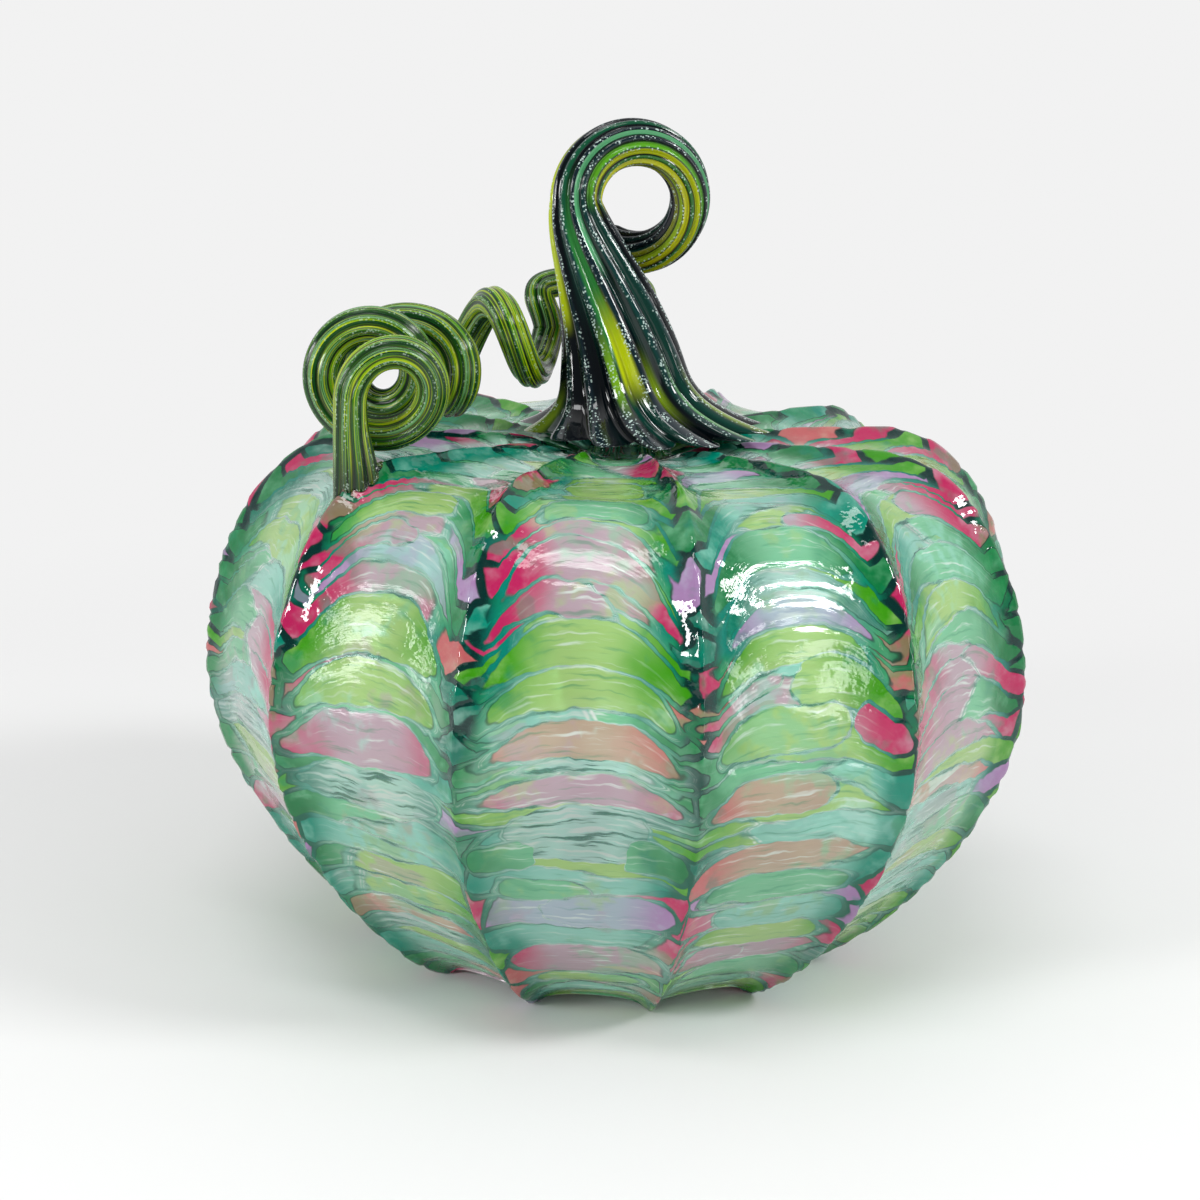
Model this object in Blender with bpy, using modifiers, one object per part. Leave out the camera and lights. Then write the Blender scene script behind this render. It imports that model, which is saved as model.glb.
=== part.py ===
"""A blown glass pumpkin: a hollow ribbed body, a solid fluted stem with a curled tip, and a corkscrew tendril.

Metres, +Z up. The origin is on the table, on the body's axis. The front is -Y.
"""

import math

import bmesh
import bpy
from mathutils import Vector

# Body: the line of a rib's ridge, seen from the side
BODY_RADIUS = 0.089
BELLY_HEIGHT = 0.0645
SHOULDER_RADIUS = 0.0573
SHOULDER_HEIGHT = 0.1138
DIMPLE_DEPTH = 0.005
DIMPLE_TIGHTNESS = 4
PIPE_HOLE_RADIUS = 0.010
FOOT_RADIUS = 0.045
UNDERSIDE_RISE = 0.007
PONTIL_RADIUS = 0.012
BELLY_FULLNESS = 0.0267
FOOT_FULLNESS = 0.0176
FOOT_SLOPE = math.radians(23)
FOOT_GRIND = 0.0006
UNDERSIDE_STEP = 0.15

# Body: the ribs and the panels between them
RIB_COUNT = 12
FIRST_RIB = math.radians(10.2)
PANEL_DEPTH = 0.0052
RIDGE_SHARPNESS = 2.2
HOLE_RIBBING = 0.15
SHOULDER_RIBBING = 0.75
FOOT_RIBBING = 0.70
PANEL_WALL = 0.0042
RIB_WALL = 0.0062

# Stem: it leans back to the left, then curls over to the right and round behind itself
STEM_FOOT_PULL = 0.0040
STEM_FOOT_RADIUS = 0.0270
STEM_TOE_THICKNESS = 0.0008
STEM_FLARE_HEIGHT = 0.0130
STEM_FLARE_TIGHTNESS = 3.0
STEM_SHAFT_RADIUS = 0.0162
STEM_RISE = 0.0476
STEM_LEAN = 0.0117
STEM_LOW_BEND = Vector((0.0, 0.0, 0.0238))
STEM_HIGH_BEND = Vector((0.0, 0.0, 0.0093))
STEM_FLUTES = 14
STEM_FLUTE_DEPTH = 0.16
STEM_TWIST = math.radians(-120)
CURL_RADIUS = 0.0128
CURL_TIGHT_RADIUS = 0.0112
CURL_TAIL_RADIUS = 0.0123
CURL_ANGLE = math.radians(318)
CURL_TIGHT_AT = 0.6
CURL_SET_BACK = 0.0165
CURL_CANE_RADIUS = 0.0055
CURL_THIN_RADIUS = 0.0043
CURL_TAIL_CANE_RADIUS = 0.0049
CURL_TIP_FROM = 0.93

# Tendril: a corkscrew of glass cane from a pad on the left shoulder to the shoulder behind the stem.
# Its places are x, y and the height above the shoulder
TENDRIL_PAD = Vector((-0.0527, -0.0422, -0.0098))
TENDRIL_PAD_RADIUS = 0.0050
TENDRIL_PAD_RISE = 0.0090
TENDRIL_CANE_RADIUS = 0.0034
TENDRIL_THICK_RADIUS = 0.0041
TENDRIL_END_RADIUS = 0.0029
TENDRIL_ARCH_RISE = Vector((-0.0013, 0.0, 0.0068))
TENDRIL_CREST = Vector((-0.0070, 0.0200, 0.0294))
TENDRIL_CREST_SWEEP = Vector((0.0186, 0.0046, 0.0))
TENDRIL_ARCH_FALL = Vector((0.0002, -0.0020, 0.0292))
TENDRIL_END = Vector((-0.0012, 0.0350, -0.0078))
TENDRIL_FLUTES = 9
TENDRIL_FLUTE_DEPTH = 0.13
TENDRIL_TWIST = math.radians(300)

# The middle of the tendril's coil at the start of each turn, and the turn's radius
TENDRIL_TURNS = (
    (-0.0448, -0.0434, 0.0113, 0.0092),
    (-0.0512, -0.0316, 0.0149, 0.0101),
    (-0.0484, -0.0215, 0.0159, 0.0080),
    (-0.0326, -0.0100, 0.0175, 0.0094),
    (-0.0167, 0.0060, 0.0198, 0.0072),
)
TENDRIL_SIDE_TURN = math.radians(85)
TENDRIL_SIDE_TURN_FROM = 2.0
TENDRIL_SIDE_TURN_TO = 3.2

# Glass to glass, where one piece lies on another
SEAT_GAP = 0.0003

# Fineness of the meshes
STEPS_PER_RIB = 6
RIDGE_CROWDING = 1.35
DIMPLE_ROWS = 4
SHOULDER_ROWS = 6
SIDE_ROWS = 7
UNDERSIDE_ROWS = 4
SHAFT_STEPS = 18
SHAFT_CROWDING = 1.7
CURL_STEPS = 30
TURN_STEPS = 24
PAD_STEPS = 6
HALF_ARCH_STEPS = 12

# Glass: colours and roughness, and the edge angle above which a crease stays sharp
BODY_GREEN = (0.30, 0.56, 0.42, 1.0)
STEM_GREEN = (0.010, 0.040, 0.030, 1.0)
TENDRIL_GREEN = (0.16, 0.33, 0.05, 1.0)
GLASS_ROUGHNESS = 0.05
CREASE_ANGLE = math.radians(55)


def smooth(t):
    t = min(max(t, 0.0), 1.0)
    return t * t * (3.0 - 2.0 * t)


def mix(a, b, t):
    return a + (b - a) * t


def glass(name, colour):
    material = bpy.data.materials.new(name)
    material.use_nodes = True
    shader = material.node_tree.nodes["Principled BSDF"]
    shader.inputs["Base Color"].default_value = colour
    shader.inputs["Roughness"].default_value = GLASS_ROUGHNESS
    shader.inputs["Metallic"].default_value = 0.0
    return material


def new_object(name, mesh, collection):
    thing = bpy.data.objects.new(name, mesh)
    collection.objects.link(thing)
    return thing


def evaluated_mesh(thing):
    """The mesh that an object's modifiers or bevel give, with its loose caps and seams welded."""
    bpy.context.view_layer.update()
    graph = bpy.context.evaluated_depsgraph_get()
    mesh = bpy.data.meshes.new_from_object(thing.evaluated_get(graph))
    work = bmesh.new()
    work.from_mesh(mesh)
    bmesh.ops.remove_doubles(work, verts=work.verts, dist=1e-6)
    bmesh.ops.recalc_face_normals(work, faces=work.faces)
    work.to_mesh(mesh)
    work.free()
    return mesh


def bezier(a, b, c, d, t):
    s = 1.0 - t
    return a * s**3 + b * (3.0 * s * s * t) + c * (3.0 * s * t * t) + d * t**3


def ridge_line():
    """(radius, height, share of the panel depth) down a rib's ridge, from the pipe hole to the pontil mark."""
    line = []
    for row in range(DIMPLE_ROWS):
        t = row / DIMPLE_ROWS
        radius = mix(PIPE_HOLE_RADIUS, SHOULDER_RADIUS, t)
        height = SHOULDER_HEIGHT - DIMPLE_DEPTH * (1.0 - t) ** DIMPLE_TIGHTNESS
        line.append((radius, height, mix(HOLE_RIBBING, SHOULDER_RIBBING, smooth(t))))
    for row in range(SHOULDER_ROWS):
        angle = math.radians(90.0) * row / SHOULDER_ROWS
        radius = mix(SHOULDER_RADIUS, BODY_RADIUS, math.sin(angle))
        height = mix(BELLY_HEIGHT, SHOULDER_HEIGHT, math.cos(angle))
        line.append((radius, height, mix(SHOULDER_RIBBING, 1.0, math.sin(angle))))
    belly = Vector((BODY_RADIUS, BELLY_HEIGHT))
    foot = Vector((FOOT_RADIUS, -FOOT_GRIND))
    below_belly = belly - Vector((0.0, BELLY_FULLNESS))
    above_foot = foot + Vector((math.cos(FOOT_SLOPE), math.sin(FOOT_SLOPE))) * FOOT_FULLNESS
    for row in range(SIDE_ROWS + 1):
        t = row / SIDE_ROWS
        point = bezier(belly, below_belly, above_foot, foot, t)
        line.append((point.x, point.y, mix(1.0, FOOT_RIBBING, t)))
    for row in range(1, UNDERSIDE_ROWS + 1):
        t = row / UNDERSIDE_ROWS
        radius = mix(FOOT_RADIUS, PONTIL_RADIUS, t)
        height = mix(-FOOT_GRIND, UNDERSIDE_RISE, smooth(mix(UNDERSIDE_STEP, 1.0, t)))
        line.append((radius, height, mix(FOOT_RIBBING, 0.0, t)))
    line.append((0.0, UNDERSIDE_RISE, 0.0))
    return line


def outward(line, row):
    """The direction square to the ridge line at one row, away from the glass."""
    before = line[max(row - 1, 0)]
    after = line[min(row + 1, len(line) - 1)]
    along = Vector((after[0] - before[0], after[1] - before[1])).normalized()
    return Vector((-along.y, along.x))


def ridge_share(angle):
    """1 on a ridge, falling in a hollow curve to 0 in the middle of a panel."""
    across = abs(math.sin(0.5 * RIB_COUNT * angle))
    return (1.0 - across) / (1.0 + RIDGE_SHARPNESS * across)


def body_skin(name, collection, swell):
    """The body's outer face, open at the pipe hole, swollen outwards by a distance."""
    line = ridge_line()
    profile = bpy.data.meshes.new(name + "_profile")
    rows = [(radius, 0.0, height) for radius, height, _ in line]
    profile.from_pydata(rows, [(i, i + 1) for i in range(len(rows) - 1)], [])
    turned = new_object(name + "_turned", profile, collection)
    screw = turned.modifiers.new("Turn", "SCREW")
    screw.steps = RIB_COUNT * STEPS_PER_RIB
    screw.render_steps = screw.steps
    screw.use_merge_vertices = True
    screw.merge_threshold = 0.00005
    mesh = evaluated_mesh(turned)
    bpy.data.objects.remove(turned)
    mesh.name = name
    directions = [outward(line, row) for row in range(len(line))]
    pitch = math.tau / RIB_COUNT
    for vertex in mesh.vertices:
        radius = math.hypot(vertex.co.x, vertex.co.y)
        row = min(range(len(line)), key=lambda i: abs(line[i][0] - radius) + abs(line[i][1] - vertex.co.z))
        angle = math.atan2(vertex.co.y, vertex.co.x)
        rib = round(angle / pitch)
        aside = (angle - rib * pitch) / (0.5 * pitch)
        crowded = math.copysign(abs(aside) ** RIDGE_CROWDING, aside)
        angle = (rib + 0.5 * crowded) * pitch
        inset = PANEL_DEPTH * line[row][2] * (1.0 - ridge_share(angle))
        place = Vector(line[row][:2]) + directions[row] * (swell - inset)
        reach = 0.0 if line[row][0] == 0.0 else place.x
        turn = angle + FIRST_RIB - math.radians(90.0)
        vertex.co = (reach * math.cos(turn), reach * math.sin(turn), place.y)
    return mesh


def box(name, low, high, collection):
    work = bmesh.new()
    bmesh.ops.create_cube(work, size=1.0)
    for vertex in work.verts:
        vertex.co = Vector([mix(low[i], high[i], vertex.co[i] + 0.5) for i in range(3)])
    mesh = bpy.data.meshes.new(name)
    work.to_mesh(mesh)
    work.free()
    cutter = new_object(name, mesh, collection)
    cutter.hide_render = True
    cutter.display_type = "WIRE"
    return cutter


def cut(thing, name, cutter):
    boolean = thing.modifiers.new(name, "BOOLEAN")
    boolean.operation = "DIFFERENCE"
    boolean.solver = "EXACT"
    boolean.object = cutter


def shade_round(mesh):
    mesh.shade_smooth()
    mesh.set_sharp_from_angle(angle=CREASE_ANGLE)


def make_body(parts, cutters):
    """The blown bubble: thicker under each ridge, open where it was broken off the pipe, flat on its feet."""
    mesh = body_skin("body_shell", parts, 0.0)
    shade_round(mesh)
    mesh.materials.append(glass("body_glass", BODY_GREEN))
    body = new_object("body_shell", mesh, parts)
    thick = body.vertex_groups.new(name="wall")
    for vertex in mesh.vertices:
        angle = math.atan2(vertex.co.y, vertex.co.x) - FIRST_RIB + math.radians(90.0)
        wall = mix(PANEL_WALL, RIB_WALL, ridge_share(angle))
        thick.add([vertex.index], wall / RIB_WALL, "REPLACE")
    wall = body.modifiers.new("Wall", "SOLIDIFY")
    wall.thickness = RIB_WALL
    wall.offset = -1.0
    wall.vertex_group = thick.name
    margin = 2.0 * BODY_RADIUS
    floor = box("table_cutter", (-margin, -margin, -margin), (margin, margin, 0.0), cutters)
    cut(body, "Ground feet", floor)
    return body


def make_seat_cutter(cutters):
    """The body's outer face as a filled solid, a gap larger, which shapes what was laid on it while hot."""
    mesh = body_skin("seat_cutter", cutters, SEAT_GAP)
    work = bmesh.new()
    work.from_mesh(mesh)
    rim = [edge for edge in work.edges if edge.is_boundary]
    bmesh.ops.holes_fill(work, edges=rim)
    bmesh.ops.recalc_face_normals(work, faces=work.faces)
    work.to_mesh(mesh)
    work.free()
    seat = new_object("seat_cutter", mesh, cutters)
    seat.hide_render = True
    seat.display_type = "WIRE"
    return seat


def fluted_cane(name, points, radii, flutes, depth, twist, collection):
    """A closed mesh of ridged cane: a POLY curve through the points, whose section is a ring of pointed flutes."""
    section_line = bpy.data.curves.new(name + "_section", "CURVE")
    section_line.dimensions = "2D"
    ring = section_line.splines.new("POLY")
    ring.points.add(2 * flutes - 1)
    for i, point in enumerate(ring.points):
        reach = 1.0 if i % 2 == 0 else 1.0 - depth
        angle = math.pi * i / flutes
        point.co = (reach * math.cos(angle), reach * math.sin(angle), 0.0, 1.0)
    ring.use_cyclic_u = True
    section = new_object(name + "_section", section_line, collection)
    path = bpy.data.curves.new(name + "_path", "CURVE")
    path.dimensions = "3D"
    path.bevel_mode = "OBJECT"
    path.bevel_object = section
    path.use_fill_caps = True
    spline = path.splines.new("POLY")
    spline.points.add(len(points) - 1)
    for i, point in enumerate(spline.points):
        point.co = (*points[i], 1.0)
        point.radius = radii[i]
        point.tilt = twist * i / (len(points) - 1)
    cane = new_object(name + "_path", path, collection)
    mesh = evaluated_mesh(cane)
    mesh.name = name
    bpy.data.objects.remove(cane)
    bpy.data.objects.remove(section)
    return mesh


def rounded_end(t):
    """1 up to the start of a cane's tip, then falling as a half circle does, to nearly 0 at its end."""
    return math.sqrt(1.0 - 0.9 * min(max(t, 0.0), 1.0) ** 2)


def stem_flare(climb):
    """The share of the foot's spread that is left at a height above the foot."""
    return min(max(1.0 - climb / STEM_FLARE_HEIGHT, 0.0), 1.0) ** STEM_FLARE_TIGHTNESS


def stem_line():
    """Points and radii up the stem, from inside the body's dimple to the curl's tip behind the shaft."""
    foot = Vector((0.0, 0.0, SHOULDER_HEIGHT + STEM_TOE_THICKNESS))
    curl_start = foot + Vector((-STEM_LEAN, 0.0, STEM_RISE))
    points = [foot - Vector((0.0, 0.0, 2.0 * DIMPLE_DEPTH))]
    radii = [STEM_FOOT_RADIUS]
    for step in range(SHAFT_STEPS):
        t = (step / SHAFT_STEPS) ** SHAFT_CROWDING
        point = bezier(foot, foot + STEM_LOW_BEND, curl_start - STEM_HIGH_BEND, curl_start, t)
        climb = point.z - foot.z
        shaft = mix(STEM_SHAFT_RADIUS, CURL_CANE_RADIUS, climb / STEM_RISE)
        points.append(point)
        radii.append(shaft + (STEM_FOOT_RADIUS - STEM_SHAFT_RADIUS) * stem_flare(climb))
    middle = curl_start + Vector((CURL_RADIUS, 0.0, 0.0))
    for step in range(CURL_STEPS + 1):
        t = step / CURL_STEPS
        angle = math.pi - t * CURL_ANGLE
        tightened = smooth(t / CURL_TIGHT_AT)
        widened = smooth((t - CURL_TIGHT_AT) / (1.0 - CURL_TIGHT_AT))
        reach = mix(CURL_RADIUS, CURL_TIGHT_RADIUS, tightened) + (CURL_TAIL_RADIUS - CURL_TIGHT_RADIUS) * widened
        cane = mix(CURL_CANE_RADIUS, CURL_THIN_RADIUS, tightened)
        cane += (CURL_TAIL_CANE_RADIUS - CURL_THIN_RADIUS) * widened
        back = CURL_SET_BACK * 0.5 * (t + t * t)
        points.append(middle + Vector((reach * math.cos(angle), back, reach * math.sin(angle))))
        radii.append(cane * rounded_end((t - CURL_TIP_FROM) / (1.0 - CURL_TIP_FROM)))
    return points, radii


def make_stem(parts, seat):
    points, radii = stem_line()
    mesh = fluted_cane("stem", points, radii, STEM_FLUTES, STEM_FLUTE_DEPTH, STEM_TWIST, parts)
    for vertex in mesh.vertices:
        vertex.co.x += STEM_FOOT_PULL * stem_flare(vertex.co.z - SHOULDER_HEIGHT - STEM_TOE_THICKNESS)
    shade_round(mesh)
    mesh.materials.append(glass("stem_glass", STEM_GREEN))
    stem = new_object("stem", mesh, parts)
    cut(stem, "Laid on body", seat)
    return stem


def turn_at(turns):
    """The middle, above the shoulder, and radius of the coil after so many turns, smooth through the chosen ones."""
    last = len(TENDRIL_TURNS) - 1
    i = min(max(int(turns), 0), last - 1)
    near = [Vector(TENDRIL_TURNS[min(max(i + k, 0), last)]) for k in (-1, 0, 1, 2)]
    rise = near[1] + (near[2] - near[0]) / 6.0
    fall = near[2] - (near[3] - near[1]) / 6.0
    place = bezier(near[1], rise, fall, near[2], turns - i)
    return place.to_3d(), place.w


def tendril_coil_point(turns):
    """A point on the corkscrew, which rises on the left of the way it faces: first back, and later to the right."""
    middle, radius = turn_at(turns)
    aside = (turns - TENDRIL_SIDE_TURN_FROM) / (TENDRIL_SIDE_TURN_TO - TENDRIL_SIDE_TURN_FROM)
    facing = TENDRIL_SIDE_TURN * smooth(aside)
    to_right = Vector((math.cos(facing), -math.sin(facing), 0.0))
    angle = math.tau * turns
    return middle - to_right * radius * math.cos(angle) + Vector((0.0, 0.0, radius * math.sin(angle)))


def tendril_line():
    """Points and radii along the tendril: up from its pad, round the coil, and in an arch to its end."""
    turns = len(TENDRIL_TURNS) - 1
    coil = [tendril_coil_point(step / TURN_STEPS) for step in range(turns * TURN_STEPS + 1)]
    rise = Vector((0.0, 0.0, TENDRIL_PAD_RISE))
    pad = [
        bezier(TENDRIL_PAD, TENDRIL_PAD + rise, coil[0] - rise, coil[0], step / PAD_STEPS)
        for step in range(PAD_STEPS)
    ]
    up = (coil[-1], coil[-1] + TENDRIL_ARCH_RISE, TENDRIL_CREST - TENDRIL_CREST_SWEEP, TENDRIL_CREST)
    down = (TENDRIL_CREST, TENDRIL_CREST + TENDRIL_CREST_SWEEP, TENDRIL_END + TENDRIL_ARCH_FALL, TENDRIL_END)
    arch = [bezier(*half, step / HALF_ARCH_STEPS) for half in (up, down) for step in range(1, HALF_ARCH_STEPS + 1)]
    shoulder = Vector((0.0, 0.0, SHOULDER_HEIGHT))
    radii = [mix(TENDRIL_PAD_RADIUS, TENDRIL_CANE_RADIUS, smooth(step / PAD_STEPS)) for step in range(PAD_STEPS)]
    for step in range(len(coil)):
        t = step / (len(coil) - 1)
        radii.append(mix(TENDRIL_CANE_RADIUS, TENDRIL_THICK_RADIUS, math.sin(math.pi * smooth(t))))
    for step in range(len(arch)):
        radii.append(mix(TENDRIL_CANE_RADIUS, TENDRIL_END_RADIUS, (step + 1) / len(arch)))
    return [shoulder + point for point in pad + coil + arch], radii


def least_gap(points, radii):
    """The least clear distance from a tube to itself, leaving out points nearer along it than half a turn."""
    least = math.inf
    apart = TURN_STEPS // 2
    for i, point in enumerate(points):
        for j in range(i + apart, len(points)):
            least = min(least, (point - points[j]).length - radii[i] - radii[j])
    return least


def make_tendril(parts, seat):
    points, radii = tendril_line()
    print(f"tendril: least gap to itself {1000 * least_gap(points, radii):.2f} mm")
    mesh = fluted_cane("tendril", points, radii, TENDRIL_FLUTES, TENDRIL_FLUTE_DEPTH, TENDRIL_TWIST, parts)
    shade_round(mesh)
    mesh.materials.append(glass("tendril_glass", TENDRIL_GREEN))
    tendril = new_object("tendril", mesh, parts)
    cut(tendril, "Laid on body", seat)
    return tendril


def clear_scene():
    for thing in list(bpy.data.objects):
        bpy.data.objects.remove(thing)


def new_collection(name):
    collection = bpy.data.collections.new(name)
    bpy.context.scene.collection.children.link(collection)
    return collection


def main():
    clear_scene()
    parts = new_collection("glass_pumpkin")
    cutters = new_collection("cutters")
    make_body(parts, cutters)
    seat = make_seat_cutter(cutters)
    make_stem(parts, seat)
    make_tendril(parts, seat)


main()
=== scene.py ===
"""The looks of a blown glass pumpkin: a ribbed bubble with chips of colour, a stem and a corkscrew tendril.

Metres, +Z up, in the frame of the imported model. The origin is on the table, on the body's axis.
The front is -Y.
"""

import math
from functools import partialmethod

import bpy
from mathutils import Matrix, Vector


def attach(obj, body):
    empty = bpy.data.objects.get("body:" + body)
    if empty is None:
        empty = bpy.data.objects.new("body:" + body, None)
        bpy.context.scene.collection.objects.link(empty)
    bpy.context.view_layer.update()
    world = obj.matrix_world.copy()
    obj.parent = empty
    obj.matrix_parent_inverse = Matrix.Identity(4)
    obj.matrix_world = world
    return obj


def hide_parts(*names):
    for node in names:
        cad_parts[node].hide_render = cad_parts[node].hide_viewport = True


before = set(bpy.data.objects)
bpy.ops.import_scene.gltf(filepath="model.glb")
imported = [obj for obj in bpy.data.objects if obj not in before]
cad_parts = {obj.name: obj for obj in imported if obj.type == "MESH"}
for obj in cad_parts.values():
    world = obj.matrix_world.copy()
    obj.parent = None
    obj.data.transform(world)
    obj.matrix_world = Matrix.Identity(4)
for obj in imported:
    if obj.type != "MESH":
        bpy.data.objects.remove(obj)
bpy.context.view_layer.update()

# Camera: where it stands, and how it is turned from looking at the middle of the belly
CAMERA_DISTANCE = 0.51927
CAMERA_ELEVATION = math.radians(15.523)
CAMERA_PITCH = math.radians(1.224)
CAMERA_YAW = math.radians(-0.499)
CAMERA_ROLL = math.radians(1.622)
CAMERA_LENS = 70.92

# Studio: how bright the backdrop, the table and the reflections of the room are, and where the table fades
BACKDROP = 0.887
TABLE_ALBEDO = 0.80
SKY_LIGHT = 0.66
ROOM_BEHIND_CAMERA = 0.12
ROOM_EDGES = (-0.7, 0.2)
TABLE_FADE = (0.16, 0.42)
TABLE_REACH = 60.0

# Soft lamps: azimuth in degrees from the front to the right, elevation, distance, width, height and watts
LAMPS = {
    "right_window": (67.0, 37.0, 1.2, 0.30, 0.22, 6.0),
    "left_window": (-50.0, 20.0, 1.2, 0.22, 0.26, 5.2),
    "top_light": (-15.0, 66.0, 1.4, 0.70, 0.25, 4.2),
    "left_strip": (-74.0, 8.0, 1.2, 0.07, 0.50, 0.9),
    "right_strip": (56.0, 6.0, 1.2, 0.12, 0.50, 1.3),
}

# Body: the line of a rib's ridge, seen from the side, as in the solid
BODY_RADIUS = 0.089
BELLY_HEIGHT = 0.0645
SHOULDER_RADIUS = 0.0573
SHOULDER_HEIGHT = 0.1138
DIMPLE_DEPTH = 0.005
DIMPLE_TIGHTNESS = 4
PIPE_HOLE_RADIUS = 0.010
FOOT_RADIUS = 0.045
UNDERSIDE_RISE = 0.007
PONTIL_RADIUS = 0.012
BELLY_FULLNESS = 0.0267
FOOT_FULLNESS = 0.0176
FOOT_SLOPE = math.radians(23)
FOOT_GRIND = 0.0006
UNDERSIDE_STEP = 0.15

# Body: the ribs and the panels between them
RIB_COUNT = 12
FIRST_RIB = math.radians(10.2)
RIB_PITCH = math.tau / RIB_COUNT
PANEL_DEPTH = 0.0052
RIDGE_SHARPNESS = 2.2
RIDGE_ROUNDING = 0.03
HOLE_RIBBING = 0.15
SHOULDER_RIBBING = 0.75
FOOT_RIBBING = 0.70
PANEL_WALL = 0.0042
RIB_WALL = 0.0062

# Body: the chips of colour, which hang from the ribs and are stretched thin across the panels
CHIP_HEIGHT = 0.0074
CHIP_WAVER = 0.009
CHIP_DRIFT = 0.30
CHIP_DROOP = 0.015
CHIP_DROOP_FROM = 0.16
DROOP_STARTS = (0.015, 0.060)
DROOP_ENDS = (0.078, 0.140)
SEAM_TURN = -6.5
CHIP_FRAYING = 0.0015
RIB_HOLD = 0.080
LOW_RIB_HOLD = 0.012
LOW_HOLD_AT = (0.105, 0.150)
LINES_A_METRE = 620.0
LINES_A_RIB = 2.5
CHIP_RELIEF = 0.00028
RIB_CHIP_RELIEF = 0.00050
RIPPLE_RELIEF = 0.00032
CUSHION_EDGE = 0.18
RELIEF_STARTS = (0.002, 0.012)
RELIEF_ENDS = (0.185, 0.200)

# Fineness of the body's mesh
COLUMNS_PER_RIB = 26
RIDGE_CROWDING = 1.35
ROW_COUNT = 246
INNER_ROW_STEP = 5
LINE_STEPS = 60
WELD_DISTANCE = 0.00001

# Stem
STEM_FOOT_PULL = 0.0040
STEM_FOOT_RADIUS = 0.0270
STEM_TOE_THICKNESS = 0.0008
STEM_FLARE_HEIGHT = 0.0130
STEM_FLARE_TIGHTNESS = 3.0
STEM_SHAFT_RADIUS = 0.0162
STEM_RISE = 0.0476
STEM_LEAN = 0.0117
STEM_LOW_BEND = Vector((0.0, 0.0, 0.0238))
STEM_HIGH_BEND = Vector((0.0, 0.0, 0.0093))
STEM_FLUTES = 14
STEM_FLUTE_DEPTH = 0.16
STEM_TOE_DEPTH = 0.30
STEM_TWIST = math.radians(-120)
CURL_RADIUS = 0.0128
CURL_TIGHT_RADIUS = 0.0112
CURL_TAIL_RADIUS = 0.0123
CURL_ANGLE = math.radians(318)
CURL_TIGHT_AT = 0.6
CURL_SET_BACK = 0.0165
CURL_CANE_RADIUS = 0.0055
CURL_THIN_RADIUS = 0.0043
CURL_TAIL_CANE_RADIUS = 0.0049
CURL_TIP_FROM = 0.93
SHAFT_STEPS = 70
SHAFT_CROWDING = 1.7
CURL_STEPS = 130

# Tendril: its places are x, y and the height above the shoulder
TENDRIL_PAD = Vector((-0.0527, -0.0422, -0.0098))
TENDRIL_PAD_RADIUS = 0.0050
TENDRIL_PAD_RISE = 0.0090
TENDRIL_CANE_RADIUS = 0.0034
TENDRIL_THICK_RADIUS = 0.0041
TENDRIL_END_RADIUS = 0.0029
TENDRIL_ARCH_RISE = Vector((-0.0013, 0.0, 0.0068))
TENDRIL_CREST = Vector((-0.0070, 0.0200, 0.0294))
TENDRIL_CREST_SWEEP = Vector((0.0186, 0.0046, 0.0))
TENDRIL_ARCH_FALL = Vector((0.0002, -0.0020, 0.0292))
TENDRIL_END = Vector((-0.0012, 0.0350, -0.0078))
TENDRIL_FLUTES = 9
TENDRIL_FLUTE_DEPTH = 0.13
TENDRIL_TWIST = math.radians(300)
TENDRIL_TURNS = (
    # The coil at each whole turn: the place of its middle, and its radius
    (-0.0448, -0.0434, 0.0113, 0.0092),
    (-0.0512, -0.0316, 0.0149, 0.0101),
    (-0.0484, -0.0215, 0.0159, 0.0080),
    (-0.0326, -0.0100, 0.0175, 0.0094),
    (-0.0167, 0.0060, 0.0198, 0.0072),
)
TENDRIL_SIDE_TURN = math.radians(85)
TENDRIL_SIDE_TURN_FROM = 2.0
TENDRIL_SIDE_TURN_TO = 3.2
TURN_STEPS = 72
PAD_STEPS = 18
HALF_ARCH_STEPS = 40

# Glass to glass, where one piece lies on another
SEAT_GAP = 0.0003
SEAT_RINGS = 10
SIDES_PER_FLUTE = 10

# The glass that chips are crushed from: its share of the panels' chips and of the ribs' chips, its colour
# where it lies thick and where it is stretched thin, and how much light passes through
CHIP_GLASSES = {
    "lime": (0.27, 0.13, "38900c", "acd280", 0.18),
    "green": (0.25, 0.31, "04703a", "80cc9e", 0.18),
    "mint": (0.22, 0.19, "008a72", "a2e4d2", 0.28),
    "pink": (0.10, 0.22, "b01e54", "bea4b0", 0.12),
    "salmon": (0.04, 0.04, "b45a5c", "c2aa94", 0.12),
    "lavender": (0.05, 0.06, "a07aa8", "b4c4d2", 0.18),
    "clear": (0.07, 0.05, "007c64", "ccf8ec", 0.40),
}

# The clear glass between the chips; the lines brushed into them, whose pale ones are partly painted
# highlights; painted ripple reflections in clear chips; painted highlights on the chips' edges; and the
# inner face of the wall
GAP_ON_RIB = "002e2a"
GAP_BELOW_ON_RIB = "00604a"
GAP_BESIDE_RIB = "007868"
GAP_BESIDE_RIB_GREEN = "088c48"
GAP_IN_PANEL = "b8f0de"
GAP_SHADE = "1c8474"
# Pale streaks of stretched glass, which also serve as painted highlights off the panels' ripples
BRUSHED_PALE_AND_HIGHLIGHT = "eefcf4"
BRUSHED_GREEN = "209068"
# Painted reflections of ripples in clear chips: pale lines and dark teal lines
RIPPLE_REFLECTION_PALE = "f6fffb"
RIPPLE_REFLECTION_TEAL = "146c5c"
# Painted highlight: the thin white lines on the chips' edges in the panels
CREST_HIGHLIGHT = "f8fdf8"
INSIDE_TINTS = ("e6f6ec", "f6fbf6")

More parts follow.
